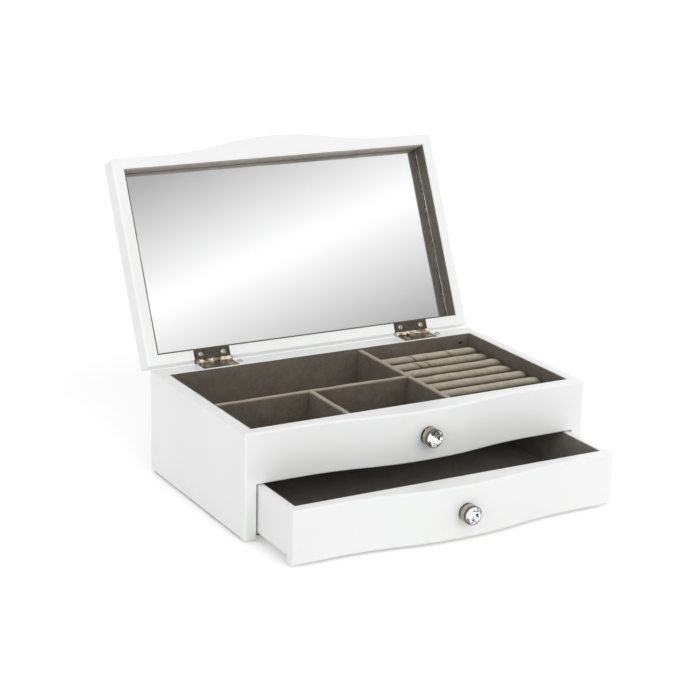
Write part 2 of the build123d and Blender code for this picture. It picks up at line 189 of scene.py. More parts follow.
def lacquer_finish(name, light, dark, peel=0.00003):
    """White sprayed lacquer: faint mottling, orange peel and uneven patches of gloss."""
    made = Finish(name)
    mottle = made.spread(made.cloud(11, 3), 0.3, 0.7)
    colour = made.mix(mottle, dark, light)
    gloss = made.spread(made.cloud(48, 4, 0.6), 0.3, 0.7, 0.285, 0.40)
    orange_peel = made.bump(made.cloud(380, 2), peel)
    grain = made.bump(made.cloud(2600, 1), peel / 4, normal=orange_peel)
    made.set(Base_Color=colour, Roughness=gloss, Normal=grain)
    made.set(Coat_Weight=0.3, Coat_Roughness=0.14, IOR=1.48)
    return made.material


def velvet_finish(name, dark, light, sheen, tint, crest=None, shaded_roll=False):
    """Short-pile velvet: fibres, brushed patches of nap and a soft sheen at the edges.

    A crest is two heights and a colour: between them the velvet turns to that colour, a painted highlight on tops
    and top edges.
    On shaded rolls a per-point attribute adds painted shade towards the far ends and in the creases.
    """
    made = Finish(name)
    fibres = made.cloud(2400, 3, 0.75)
    tufts = made.cloud(700, 2, 0.6, 0.5)
    nap = made.cloud(70, 3, 0.6, 0.6)
    shade = made.sum(made.spread(fibres, 0.3, 0.7), 0.45, "MULTIPLY")
    shade = made.sum(shade, made.sum(made.spread(tufts, 0.3, 0.7), 0.3, "MULTIPLY"))
    shade = made.sum(shade, made.sum(made.spread(nap, 0.3, 0.7), 0.25, "MULTIPLY"))
    height = made.sum(fibres, tufts)
    colour = made.mix(shade, dark, light)
    # Painted light: between the two heights the colour turns pale, so tops and top edges look lit and lower parts
    # look shaded.
    if crest:
        foot, top, pale = crest
        parts = made.add("ShaderNodeSeparateXYZ", {"Vector": made.place})
        lift = made.spread(parts.outputs["Z"], foot, top)
        # On the rolls, painted shade from a per-point attribute keeps the pale colour off towards the far ends and
        # in the creases.
        if shaded_roll:
            roll_light = made.add("ShaderNodeAttribute", attribute_name="laid_pile")
            lift = made.sum(lift, roll_light.outputs["Fac"], "MULTIPLY")
            patches = made.spread(made.cloud(190, 3, 0.6), 0.35, 0.65, 0.76, 1.0)
            lift = made.sum(lift, patches, "MULTIPLY")
        lit_share = made.sum(made.spread(shade, 0.0, 1.0, 0.72, 1.0), lift, "MULTIPLY")
        colour = made.mix(lit_share, colour, pale)
    made.set(Base_Color=colour)
    made.set(Normal=made.bump(height, 0.0005, 0.6))
    made.set(Roughness=0.95, Specular_IOR_Level=0.15)
    made.set(Sheen_Weight=sheen, Sheen_Roughness=0.4, Sheen_Tint=(*tint, 1.0))
    return made.material


def felt_finish():
    """Matted felt under the case."""
    made = Finish("base_felt")
    hair = made.cloud(1500, 4, 0.8, 1.5)
    clumps = made.cloud(180, 3, 0.6)
    shade = made.sum(made.sum(hair, 0.6, "MULTIPLY"), made.sum(clumps, 0.4, "MULTIPLY"))
    made.set(Base_Color=made.mix(shade, (0.030, 0.028, 0.025), (0.085, 0.080, 0.072)))
    made.set(Normal=made.bump(hair, 0.0006, 0.7), Roughness=0.97, Specular_IOR_Level=0.1)
    made.set(Sheen_Weight=0.15, Sheen_Roughness=0.6)
    return made.material


def antique_finish(name, dark, light, low=0.22, high=0.48, rubbing_and_highlight=None):
    """Antique nickel plate: dark patina in random patches, and bright along the barrel, partly from rubbing and
    partly a painted highlight.
    """
    made = Finish(name)
    patina = made.spread(made.cloud(420, 4, 0.7, 0.8), 0.35, 0.65)
    spots = made.spread(made.cloud(1500, 2), 0.55, 0.75)
    colour = made.mix(patina, dark, light)
    if rubbing_and_highlight:
        # Partly rubbing and partly a painted highlight: the barrel turns bright.
        parts = made.add("ShaderNodeSeparateXYZ", {"Vector": made.place})
        out = made.sum(parts.outputs["Y"], hinge_line.y, "SUBTRACT")
        up = made.sum(parts.outputs["Z"], hinge_line.z, "SUBTRACT")
        squares = made.sum(made.sum(out, out, "MULTIPLY"), made.sum(up, up, "MULTIPLY"))
        reach = made.sum(squares, 0.5, "POWER")
        barrel = made.spread(reach, 2.5 * MM, 2.3 * MM)
        rub_and_highlight_patches = made.spread(made.cloud(260, 2, 0.5), 0.44, 0.56, 0.08, 1.0)
        colour = made.mix(made.sum(barrel, rub_and_highlight_patches, "MULTIPLY"), colour, rubbing_and_highlight)
    colour = made.mix(made.sum(spots, 0.5, "MULTIPLY"), colour, (0.05, 0.04, 0.03))
    made.set(Base_Color=colour, Roughness=made.spread(patina, 0, 1, high, low))
    made.set(Normal=made.bump(made.cloud(1100, 3), 0.00006), Metallic=1.0)
    return made.material


def nickel_finish(name, centre, groove_radius):
    """Polished nickel turned on a lathe, with fine rings, its groove darkened by tarnish and painted shade, and a
    painted shade band round its side.
    """
    made = Finish(name)
    centring = made.add("ShaderNodeMapping", {"Vector": made.place, "Location": -centre})
    parts = made.add("ShaderNodeSeparateXYZ", {"Vector": centring.outputs["Vector"]})
    squares = made.sum(
        made.sum(parts.outputs["X"], parts.outputs["X"], "MULTIPLY"),
        made.sum(parts.outputs["Z"], parts.outputs["Z"], "MULTIPLY"),
    )
    reach = made.sum(squares, 0.5, "POWER")
    turning = made.sum(made.sum(made.sum(reach, parts.outputs["Y"]), 26000, "MULTIPLY"), 0.0, "SINE")
    tarnish = made.spread(made.cloud(240, 3, 0.6), 0.35, 0.7)
    # Groove darkening: partly tarnish, partly painted shade.
    tarnish_and_shade = made.spread(reach, groove_radius, groove_radius - 0.25 * MM)
    outside = made.spread(reach, 6.55 * MM, 6.7 * MM)
    tarnish_and_shade = made.sum(tarnish_and_shade, outside, "MULTIPLY")
    colour = made.mix(tarnish, (0.60, 0.555, 0.48), (0.42, 0.375, 0.31))
    # Painted shade: a dark band round the cup's side.
    shade_band = made.spread(parts.outputs["Y"], -1.9 * MM, -2.3 * MM)
    lip = made.spread(parts.outputs["Y"], -4.45 * MM, -4.2 * MM)
    shade_band = made.sum(made.sum(shade_band, lip, "MULTIPLY"), outside, "MULTIPLY")
    colour = made.mix(made.sum(shade_band, 0.95, "MULTIPLY"), colour, (0.13, 0.10, 0.07))
    made.set(Base_Color=made.mix(tarnish_and_shade, colour, (0.08, 0.064, 0.048)))
    made.set(Roughness=made.spread(tarnish, 0, 1, 0.10, 0.20), Metallic=1.0)
    made.set(Normal=made.bump(turning, 0.000006))
    return made.material


def steel_finish():
    """Zinc-plated screws inside the knobs."""
    made = Finish("zinc_plate")
    flow = made.cloud(500, 3, 0.6)
    made.set(Base_Color=made.mix(flow, (0.45, 0.45, 0.46), (0.66, 0.66, 0.67)))
    made.set(Roughness=made.spread(flow, 0.3, 0.7, 0.25, 0.4), Metallic=1.0)
    made.set(Normal=made.bump(made.cloud(2000, 2), 0.00004))
    return made.material


def silver_finish(name, level, roughness):
    """Silver behind glass, with a few faint cloudy patches."""
    made = Finish(name)
    haze = made.spread(made.cloud(20, 4, 0.65), 0.45, 0.8)
    clear = (level, level, level)
    hazy = (level - 0.015, level - 0.015, level - 0.015)
    made.set(Base_Color=made.mix(haze, clear, hazy))
    made.set(Roughness=made.spread(haze, 0, 1, 0.0, roughness), Metallic=1.0)
    return made.material


def clear_finish(name, tint, roughness_low, roughness_high, ior, clearness=1.0):
    """Clear glass or plastic with faint handling marks in its polish."""
    made = Finish(name)
    marks = made.spread(made.cloud(160, 4, 0.7), 0.5, 0.8, roughness_low, roughness_high)
    made.set(Base_Color=(*tint, 1.0), Roughness=marks)
    made.set(Transmission_Weight=clearness, IOR=ior)
    return made.material


lacquer = lacquer_finish("white_lacquer", (0.86, 0.865, 0.86), (0.83, 0.84, 0.83))
board_paint = lacquer_finish("board_paint", (0.83, 0.83, 0.82), (0.78, 0.785, 0.775), 0.00006)
tray_velvet = velvet_finish(
    "tray_velvet", (0.080, 0.067, 0.051), (0.205, 0.178, 0.143), 0.35, (0.85, 0.80, 0.70)
)
# Painted light: a copy of the tray velvet made a little lighter, for the lid's lining.
lit_lid_strip_velvet = velvet_finish(
    "lit_lid_strip_velvet", (0.085, 0.075, 0.060), (0.205, 0.183, 0.152), 0.3, (0.9, 0.85, 0.76)
)
# Painted light: a much lighter copy of the lid velvet, for the lid lining's front strip, which faces up into the
# light.
lit_front_strip_velvet = velvet_finish(
    "lit_front_strip_velvet", (0.28, 0.25, 0.21), (0.54, 0.495, 0.43), 0.4, (0.95, 0.9, 0.82)
)
# Painted highlight: the dividers turn pale along their top edges.
divider_velvet = velvet_finish(
    "divider_velvet", (0.075, 0.062, 0.047), (0.19, 0.165, 0.132), 0.3, (0.85, 0.80, 0.70),
    (79.8 * MM, 80.8 * MM, (0.42, 0.37, 0.29)),
)
# Painted light and shade: the rolls turn pale near their tops and stay dark lower down, in the grooves between
# them.
ring_velvet = velvet_finish(
    "ring_velvet", (0.050, 0.042, 0.031), (0.11, 0.095, 0.071), 0.15, (0.95, 0.90, 0.78),
    (72.7 * MM, 75.5 * MM, (0.62, 0.548, 0.42)), shaded_roll=True,
)
# Painted light: a lighter copy of the tray velvet, making up for light that does not reach into the drawer.
drawer_velvet = velvet_finish(
    "drawer_velvet", (0.115, 0.102, 0.086), (0.285, 0.256, 0.22), 0.25, (0.8, 0.76, 0.7)
)
felt = felt_finish()
antique_plate = antique_finish(
    "antique_plate", (0.040, 0.036, 0.030), (0.115, 0.102, 0.084), rubbing_and_highlight=(0.80, 0.72, 0.58)
)
# Painted reflection: the case leaves take a lighter copy of the plate, standing in for the light they reflect.
reflecting_case_plate = antique_finish(
    "reflecting_case_plate", (0.12, 0.095, 0.068), (0.27, 0.225, 0.165), rubbing_and_highlight=(0.80, 0.72, 0.58)
)
screw_plate = antique_finish("screw_plate", (0.22, 0.20, 0.17), (0.50, 0.47, 0.41), 0.14, 0.30)
zinc = steel_finish()
silver = silver_finish("mirror_silver", 0.985, 0.012)
foil = silver_finish("crystal_foil", 0.93, 0.06)
plate_glass = clear_finish("plate_glass", (0.996, 1.0, 0.998), 0.0, 0.004, 1.5)
crystal = clear_finish("cut_crystal", (0.98, 0.99, 1.0), 0.0, 0.02, 1.58)
clear_plastic = clear_finish("clear_plastic", (0.74, 0.75, 0.75), 0.15, 0.3, 1.45, 0.45)


# ------------------------------------------------------------------ pieces


def limits(node, turned_back=STANDING):
    """The lowest and highest corner of a CAD node, seen in a frame turned back."""
    points = [turned_back @ v.co for v in frame["nodes"][node].data.vertices]
    low = Vector([min(p[i] for p in points) for i in range(3)])
    high = Vector([max(p[i] for p in points) for i in range(3)])
    return low, high


def add_piece(name, bm, finishes, nodes, sharp=40.0):
    """Makes a piece of a finished bmesh. It rides with the CAD nodes that it stands for."""
    mesh = bpy.data.meshes.new(name)
    bm.to_mesh(mesh)
    bm.free()
    for finish in finishes:
        mesh.materials.append(finish)
    mesh.shade_smooth()
    mesh.set_sharp_from_angle(angle=math.radians(sharp))
    piece = bpy.data.objects.new(name, mesh)
    bpy.context.scene.collection.objects.link(piece)
    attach(piece, node_body[nodes[0]])
    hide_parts(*nodes)
    return piece


def add_trim(name, bm, finish, body):
    """Makes a small piece of a finished bmesh that stands for no CAD node."""
    mesh = bpy.data.meshes.new(name)
    bm.to_mesh(mesh)
    bm.free()
    mesh.materials.append(finish)
    mesh.shade_smooth()
    mesh.set_sharp_from_angle(angle=math.radians(40))
    trim = bpy.data.objects.new(name, mesh)
    bpy.context.scene.collection.objects.link(trim)
    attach(trim, body)
    return trim


def joined(node):
    """A bmesh of a CAD node with its loose triangles joined and its flat faces made whole."""
    bm = bmesh.new()
    bm.from_mesh(frame["nodes"][node].data)
    bmesh.ops.remove_doubles(bm, verts=bm.verts, dist=2e-6)
    bmesh.ops.dissolve_limit(
        bm, angle_limit=math.radians(0.3), use_dissolve_boundaries=False,
        verts=bm.verts, edges=bm.edges, delimit=set(),
    )
    return bm


def evened(piece):
    """Shades flat faces flat and lets only the rounded edges turn."""
    modifier = piece.modifiers.new("even_shading", "WEIGHTED_NORMAL")
    modifier.keep_sharp = True
    modifier.weight = 80
    return piece


def squared(piece, turned_back=STANDING):
    """Shades each flat face flat right up to the rounded edges that run out of it."""
    mesh = piece.data
    faces = list(mesh.polygons)
    turn = turned_back.to_3x3()
    flat = [max(abs(part) for part in turn @ face.normal) > 0.99999 for face in faces]
    around = [[] for _ in mesh.vertices]
    for face in faces:
        for corner in face.vertices:
            around[corner].append(face)
    normals = [None] * len(mesh.loops)
    for face in faces:
        for loop, corner in zip(face.loop_indices, face.vertices):
            near = [f for f in around[corner] if f.normal.angle(face.normal, 0) < math.radians(40)]
            level = [f for f in near if flat[f.index]]
            if flat[face.index]:
                normals[loop] = face.normal.copy()
            elif level:
                nearest = min(level, key=lambda f: f.normal.angle(face.normal, 0))
                normals[loop] = nearest.normal.copy()
            else:
                normals[loop] = sum((f.normal for f in near), Vector()).normalized()
    mesh.normals_split_custom_set(normals)
    return piece


def softened(piece, width, segments=2):
    """Breaks the sharp edges of a piece by a given width."""
    modifier = piece.modifiers.new("broken_edges", "BEVEL")
    modifier.width = width
    modifier.segments = segments
    modifier.limit_method = "ANGLE"
    modifier.angle_limit = math.radians(40)
    return piece


def block(low, high):
    """A bmesh box between two corners."""
    bm = bmesh.new()
    bmesh.ops.create_cube(bm, size=1)
    bmesh.ops.scale(bm, vec=high - low, verts=bm.verts)
    bmesh.ops.translate(bm, vec=(low + high) / 2, verts=bm.verts)
    return bm


def rounded(bm, width, segments=3, edges=None):
    """Rounds edges of a bmesh."""
    bmesh.ops.bevel(
        bm, geom=edges or bm.edges[:], offset=width, offset_type="OFFSET",
        segments=segments, profile=0.5, affect="EDGES", material=-1, clamp_overlap=True,
    )


def sliced(bm, axis, step):
    """Cuts a bmesh across an axis every step, so that its surface can waver."""
    low = min(v.co[axis] for v in bm.verts)
    high = max(v.co[axis] for v in bm.verts)
    across = Vector([1.0 if i == axis else 0.0 for i in range(3)])
    count = int((high - low) / step)
    for i in range(1, count):
        point = across * (low + (high - low) * i / count)
        geometry = bm.verts[:] + bm.edges[:] + bm.faces[:]
        bmesh.ops.bisect_plane(bm, geom=geometry, plane_co=point, plane_no=across)


def wavered(bm, amount, wave, low, high):
    """Lets a covered surface waver a little, and keeps it between two corners."""
    for vert in bm.verts:
        push = noise.noise_vector(vert.co / wave) * amount
        for i in range(3):
            vert.co[i] = min(max(vert.co[i] + push[i], low[i]), high[i])


# Flat lacquered boards: joined copies, so that their rounded edges shade smoothly.
LACQUERED = {
    "case_left_side": "left_side_board",
    "case_right_side": "right_side_board",
    "case_back_panel": "back_board",
    "lid_rear_rail": "lid_hinge_rail",
    "lid_left_rail": "lid_side_rail_left",
    "lid_right_rail": "lid_side_rail_right",
}
for node, name in LACQUERED.items():
    turned_back = lid_shut if node_body[node] == "lid" else STANDING
    squared(add_piece(name, joined(node), [lacquer], [node]), turned_back)

# The serpentine line of the front: flat ends, and two arcs each side of the crown.
SWELL = 9.3 * MM
REACH = 100 * MM
ARC = ((REACH / 2) ** 2 + (SWELL / 2) ** 2) / SWELL
OUTER_ROUND = 1.8 * MM


def swell_at(x):
    """How far the serpentine front stands forward of its flat ends."""
    x = abs(x)
    if x >= REACH:
        return 0.0
    if x > REACH / 2:
        return ARC - math.sqrt(ARC ** 2 - (REACH - x) ** 2)
    return SWELL - ARC + math.sqrt(ARC ** 2 - x ** 2)


def opened(bm, half, top):
    """Cuts the drawer opening up from the bottom of a board and closes its three sides."""
    sideways = Vector((1, 0, 0))
    upwards = Vector((0, 0, 1))
    cuts = ((-half * sideways, sideways), (half * sideways, sideways), (top * upwards, upwards))
    for point, across in cuts:
        geometry = bm.verts[:] + bm.edges[:] + bm.faces[:]
        bmesh.ops.bisect_plane(bm, geom=geometry, plane_co=point, plane_no=across)
    inside = []
    for face in bm.faces:
        middle = face.calc_center_median()
        if abs(middle.x) < half and middle.z < top:
            inside.append(face)
    bmesh.ops.delete(bm, geom=inside, context="FACES")
    rim = [e for e in bm.edges if e.is_boundary]
    depths = [v.co.y for v in bm.verts]
    halfway = (min(depths) + max(depths)) / 2
    front = [e for e in rim if all(v.co.y < halfway for v in e.verts)]
    rear = [e for e in rim if all(v.co.y > halfway for v in e.verts)]
    bmesh.ops.bridge_loops(bm, edges=front + rear)
    bmesh.ops.recalc_face_normals(bm, faces=bm.faces)


def serpentine_board(name, node, chosen, opening=None, turned_back=STANDING, turn=STANDING):
    """A board with the serpentine front. The edges that chosen picks are rounded over."""
    low, high = limits(node, turned_back)
    flat_y = low.y + SWELL
    bm = block(Vector((low.x, flat_y, low.z)), high)
    for i in range(-20, 21):
        geometry = bm.verts[:] + bm.edges[:] + bm.faces[:]
        bmesh.ops.bisect_plane(
            bm, geom=geometry, plane_co=(i * REACH / 20, 0, 0), plane_no=(1, 0, 0)
        )
    if opening:
        opened(bm, *opening)
    tight = 1e-5
    width_by_edge = {}
    for edge in bm.edges:
        middle = (edge.verts[0].co + edge.verts[1].co) / 2
        marks = {
            "front": all(v.co.y < flat_y + tight for v in edge.verts),
            "rear": all(v.co.y > high.y - tight for v in edge.verts),
            "top": all(v.co.z > high.z - tight for v in edge.verts),
            "bottom": all(v.co.z < low.z + tight for v in edge.verts),
            "end": all(abs(v.co.x) > high.x - tight for v in edge.verts),
            "opening": bool(opening) and abs(middle.x) < opening[0] + tight
            and middle.z < opening[1] + tight,
        }
        flat = edge.calc_face_angle(0) < math.radians(30)
        width = 0 if flat else chosen(marks, middle)
        if width:
            width_by_edge.setdefault(width, []).append(edge)
    for vert in bm.verts:
        if vert.co.y < flat_y + tight:
            vert.co.y -= swell_at(vert.co.x)
    for width, edges in sorted(width_by_edge.items(), reverse=True):
        rounded(bm, width, 4, [e for e in edges if e.is_valid])
    bmesh.ops.transform(bm, matrix=turn, verts=bm.verts)
    return evened(add_piece(name, bm, [lacquer], [node]))


def fascia_edges(marks, middle):
    """Outer edges are rounded over, and the opening's front edge a little less."""
    if marks["opening"]:
        return 1.2 * MM if marks["front"] else 0
    if marks["rear"]:
        return 0
    return OUTER_ROUND


def drawer_front_edges(marks, middle):
    """Rounded in front and just broken behind."""
    return OUTER_ROUND if marks["front"] else 0.3 * MM


def lid_panel_edges(marks, middle):
    """Rounded over round the top."""
    return 0 if marks["bottom"] else OUTER_ROUND


def lid_rail_edges(marks, middle):
    """Rounded over along the rim and at the corners."""
    return 0 if marks["rear"] or marks["top"] else OUTER_ROUND


opening_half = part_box("case_right_side")[0].x
opening_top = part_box("tray_deck_panel")[0].z
serpentine_board(
    "serpentine_fascia", "case_front_board", fascia_edges, (opening_half, opening_top)
)
serpentine_board("drawer_serpentine_front", "drawer_front", drawer_front_edges)
serpentine_board(
    "lid_serpentine_panel", "lid_top_panel", lid_panel_edges, None, lid_shut, lid_open
)
serpentine_board(
    "lid_serpentine_rail", "lid_front_rail", lid_rail_edges, None, lid_shut, lid_open
)

# Plain boards: square, with their edges just broken.
PLAIN_BOARDS = {
    "drawer_left_side": ("drawer_side_board_left", lacquer, "lacquer"),
    "drawer_right_side": ("drawer_side_board_right", lacquer, "lacquer"),
    "drawer_back": ("drawer_rear_board", lacquer, "lacquer"),
    "drawer_bottom": ("drawer_bottom_board", board_paint, "lacquer"),
    "case_base_panel": ("bottom_board", board_paint, "board_edge"),
    "tray_deck_panel": ("deck_board", board_paint, "board_edge"),
}
for node, (name, finish, slot) in PLAIN_BOARDS.items():
    bm = block(*limits(node))
    rounded(bm, 0.35 * MM, 2)
    evened(add_piece(name, bm, [finish], [node]))


def covered_card(name, node, finish, turned_back=STANDING, turn=STANDING):
    """A lining: card under velvet, with a rounded folded edge and a slightly uneven face."""
    low, high = limits(node, turned_back)
    bm = block(low, high)
    rounded(bm, 0.5 * MM, 3)
    for axis in range(3):
        if high[axis] - low[axis] > 10 * MM:
            sliced(bm, axis, 6 * MM)
    wavered(bm, 0.22 * MM, 17 * MM, low, high)
    bmesh.ops.transform(bm, matrix=turn, verts=bm.verts)
    return add_piece(name, bm, [finish], [node], 60)


for side in ("floor", "left", "right", "front", "back"):
    covered_card(f"tray_velvet_{side}", f"tray_lining_{side}", tray_velvet)
    covered_card(f"drawer_velvet_{side}", f"drawer_lining_{side}", drawer_velvet)
# The front strip takes the lighter velvet: painted light.
for side in ("left", "right", "front", "rear"):
    nap = lit_front_strip_velvet if side == "front" else lit_lid_strip_velvet
    covered_card(
        f"lit_lid_strip_velvet_{side}", f"lid_lining_{side}", nap, lid_shut, lid_open
    )
covered_card("ring_roll_bed", "ring_roll_platform", ring_velvet)


def wrapped_divider(name, node):
    """A divider: board wrapped in velvet, its long top edges rounded and its faces a little uneven."""
    low, high = limits(node)
    along = 0 if high.x - low.x > high.y - low.y else 1
    bm = block(low, high)
    top = [e for e in bm.edges if all(v.co.z > high.z - 1e-6 for v in e.verts)]
    long_top = [e for e in top if abs(e.verts[0].co[along] - e.verts[1].co[along]) > 10 * MM]
    rounded(bm, 2.0 * MM, 6, long_top)
    sliced(bm, along, 4 * MM)
    sliced(bm, 2, 6 * MM)
    wavered(bm, 0.3 * MM, 14 * MM, low, high)
    return add_piece(name, bm, [divider_velvet], [node], 60)


wrapped_divider("velvet_divider_long", "long_divider")
wrapped_divider("velvet_divider_cross", "cross_divider")
wrapped_divider("velvet_divider_short", "short_divider")


# ------------------------------------------------------------------ ring rolls


COVER_SLACK = 0.45 * MM
NOSES = {1: 7 * MM, 2: 11 * MM, 3: 7 * MM, 4: 12 * MM, 5: 5 * MM, 6: 4 * MM, 7: 6 * MM}


def roll_cover(number):
    """The cover of a foam roll before it is stuffed: a slim tube with a rounded far end."""
    node = f"ring_roll_{number}"
    low, high = limits(node)
    radius = (high.z - low.z) / 2 - COVER_SLACK
    middle = (low + high) / 2
    far_end = high.x - 0.3 * MM - 0.6 * MM * (noise.noise(Vector((number * 3.7, 1.3, 0))) + 0.5)
    length = far_end - low.x
    nose = NOSES[number]
    count = int(length / (1.6 * MM))
    bm = bmesh.new()
    ring = bmesh.ops.create_circle(bm, cap_ends=False, segments=36, radius=1.0)["verts"]
    bmesh.ops.rotate(bm, matrix=Matrix.Rotation(math.pi / 2, 3, "Y"), verts=ring)
    bmesh.ops.translate(bm, vec=(low.x, middle.y, middle.z), verts=ring)
    edges = bm.edges[:]
    for _ in range(count):
        extruded = bmesh.ops.extrude_edge_only(bm, edges=edges)["geom"]
        verts = [g for g in extruded if isinstance(g, bmesh.types.BMVert)]
        edges = [g for g in extruded if isinstance(g, bmesh.types.BMEdge)]
        bmesh.ops.translate(bm, vec=(length / count, 0, 0), verts=verts)
    bmesh.ops.holes_fill(bm, edges=bm.edges)
    caps = [f for f in bm.faces if len(f.verts) > 4]
    for _ in range(4):
        bmesh.ops.inset_region(bm, faces=caps, thickness=0.2, use_even_offset=False)
    bmesh.ops.recalc_face_normals(bm, faces=bm.faces)
    for vert in bm.verts:
        spoke = Vector((0, vert.co.y - middle.y, vert.co.z - middle.z))
        from_far = far_end - vert.co.x
        size = radius
        if from_far < nose:
            size *= math.sqrt(max(1 - ((nose - from_far) / nose) ** 2.4, 0.0)) * 0.88 + 0.12
            vert.co.x += (1 - min(spoke.length, 1.0)) * 0.8 * MM
        vert.co.y = middle.y + spoke.y * size
        vert.co.z = middle.z + spoke.z * size
    return add_piece(f"velvet_ring_roll_{number}", bm, [ring_velvet], [node], 180)


def stuffed(pieces):
    """Blows the covers up in a short cloth simulation and keeps the shape they take."""
    scene = bpy.context.scene
    for piece in pieces:
        cloth = piece.modifiers.new("stuffing", "CLOTH")
        cloth.settings.quality = 5
        cloth.settings.use_pressure = True
        cloth.settings.uniform_pressure_force = 4
        cloth.settings.effector_weights.gravity = 0
        cloth.point_cache.frame_start = 1
        cloth.point_cache.frame_end = 20
        smooth = piece.modifiers.new("smoother_cover", "SUBSURF")
        smooth.levels = 1
        smooth.render_levels = 1
    for step in range(1, 21):
        scene.frame_set(step)
    graph = bpy.context.evaluated_depsgraph_get()
    shapes = [bpy.data.meshes.new_from_object(p.evaluated_get(graph)) for p in pieces]
    for piece, shape in zip(pieces, shapes):
        piece.modifiers.clear()
        piece.data = shape
        shape.name = piece.name
    scene.frame_set(1)


def settled(piece, number, creases):
    """Holds the stuffed roll inside its foam's size, and lays in lumps, creases and a droop, with painted shade
    towards the far end and along the creases.
    """
    low, high = limits(f"ring_roll_{number}")
    radius = (high.z - low.z) / 2
    middle = (low + high) / 2
    tail_length = NOSES[number] + 4 * MM
    pile = piece.data.attributes.new("laid_pile", "FLOAT", "POINT")
    for vert in piece.data.vertices:
        tail = max(0.0, 1 - (high.x - vert.co.x) / tail_length)
        # Painted shade: the pile darkens towards the roll's far end.
        pile.data[vert.index].value = 1 - 0.75 * tail
        spoke = Vector((0, vert.co.y - middle.y, vert.co.z - middle.z))
        if spoke.length < 0.1 * MM:
            continue
        size = min(spoke.length, radius + 0.05 * MM)
        full = size / radius
        spin = math.atan2(spoke.z, spoke.y)
        lump = noise.noise(Vector((vert.co.x * 70, spin * 0.9, number * 5.1)))
        pucker = noise.noise(Vector((vert.co.x * 420, spin * 3.5, number * 9.7)))
        size += (0.40 * lump + 0.14 * pucker - 0.40) * MM * full
        for place, slant, depth in creases:
            off = vert.co.x - place - slant * (spin - math.pi / 2)
            inside = math.exp(-(off / (0.65 * MM)) ** 2)
            size -= depth * inside * full
            # Painted shade along each crease.
            pile.data[vert.index].value *= 1 - min(inside * depth / (1.2 * MM), 1.0)
        spoke.normalize()
        vert.co.x = min(max(vert.co.x, low.x), high.x)
        vert.co.y = middle.y + spoke.y * size
        vert.co.z = middle.z + spoke.z * size
        vert.co.z -= 1.6 * MM * tail ** 2


CREASES = {
    1: [(0.0665, 0.0045, 0.0016), (0.101, 0.004, 0.0013)],
    2: [(0.061, 0.0045, 0.0016), (0.0705, 0.004, 0.0012)],
    4: [(0.092, 0.003, 0.0004)],
    6: [(0.100, 0.003, 0.0004)],
}
rolls = [roll_cover(number) for number in range(1, 8)]
stuffed(rolls)
for number, roll in enumerate(rolls, 1):
    settled(roll, number, CREASES.get(number, []))


# ------------------------------------------------------------------ mirror


def mirror_pane():
    """Plate glass with a ground edge, and the silver on its back."""
    low, high = limits("mirror_glass", lid_shut)
    skin = 0.08 * MM
    glass = block(low, high - Vector((0, 0, skin / 4)))
    rounded(glass, 0.25 * MM, 2)
    bmesh.ops.transform(glass, matrix=lid_open, verts=glass.verts)
    pane = add_piece("mirror_plate", glass, [plate_glass], ["mirror_glass"], 30)
    coat = block(Vector((low.x, low.y, high.z - skin)), high)
    bmesh.ops.transform(coat, matrix=lid_open, verts=coat.verts)
    back = add_piece("mirror_silvering", coat, [silver], ["mirror_glass"], 30)
    return evened(pane), back


def painted_glint_line():
    """A painted glint: a thin broken light line where the glass meets the right-hand strip of the lid's lining."""
    made = Finish("painted_glint_line")
    breaks = made.spread(made.cloud(420, 3, 0.7), 0.42, 0.52)
    made.set(Base_Color=made.mix(breaks, (0.14, 0.13, 0.115), (0.78, 0.78, 0.77)))
    made.set(Roughness=made.spread(breaks, 0, 1, 0.5, 0.2))
    strip_low, strip_high = limits("lid_lining_right", lid_shut)
    glass_low, glass_high = limits("mirror_glass", lid_shut)
    width = 0.2 * MM
    low = Vector((strip_low.x - width, strip_low.y, glass_low.z - width))
    high = Vector((strip_low.x, strip_high.y, glass_low.z))
    bm = block(low, high)
    rounded(bm, 0.06 * MM, 2)
    bmesh.ops.transform(bm, matrix=lid_open, verts=bm.verts)
    return add_trim("painted_glint_line", bm, made.material, "lid")


mirror_pane()
painted_glint_line()


# ------------------------------------------------------------------ hinges and screws

for side in ("left", "right"):
    for part, body in (("case_leaf", "case"), ("lid_leaf", "lid"), ("pin", "case")):
        node = f"hinge_{side}_{part}"
        name = f"antique_{side}_{part}"
        # The case leaves take the lighter plate: painted reflection.
        plate = reflecting_case_plate if part == "case_leaf" else antique_plate
        piece = add_piece(name, joined(node), [plate], [node], 35)
        if part != "pin":
            evened(softened(piece, 0.12 * MM))


def screw_head():
    """One raised screw head along Z with its cross recess, its edge at z = 0."""
    bm = bmesh.new()
    radius = 2.05 * MM
    crown = 0.62 * MM
    steps = 9
    last = bm.verts.new((radius, 0, -0.6 * MM))
    chain = []
    for i in range(steps + 1):
        share = i / steps
        height = crown * (1 - share ** 2)
        vert = bm.verts.new((radius * share, 0, height))
        chain.append(vert)
    edges = [bm.edges.new(pair) for pair in zip(chain, chain[1:])]
    edges.append(bm.edges.new((chain[-1], last)))
    bmesh.ops.spin(
        bm, geom=chain + [last] + edges, cent=(0, 0, 0), axis=(0, 0, 1),
        angle=2 * math.pi, steps=40, use_merge=True,
    )
    bmesh.ops.remove_doubles(bm, verts=bm.verts, dist=2e-6)
    bmesh.ops.holes_fill(bm, edges=bm.edges)
    bmesh.ops.recalc_face_normals(bm, faces=bm.faces)
    head = bpy.data.meshes.new("screw_head")
    bm.to_mesh(head)
    bm.free()
    return head


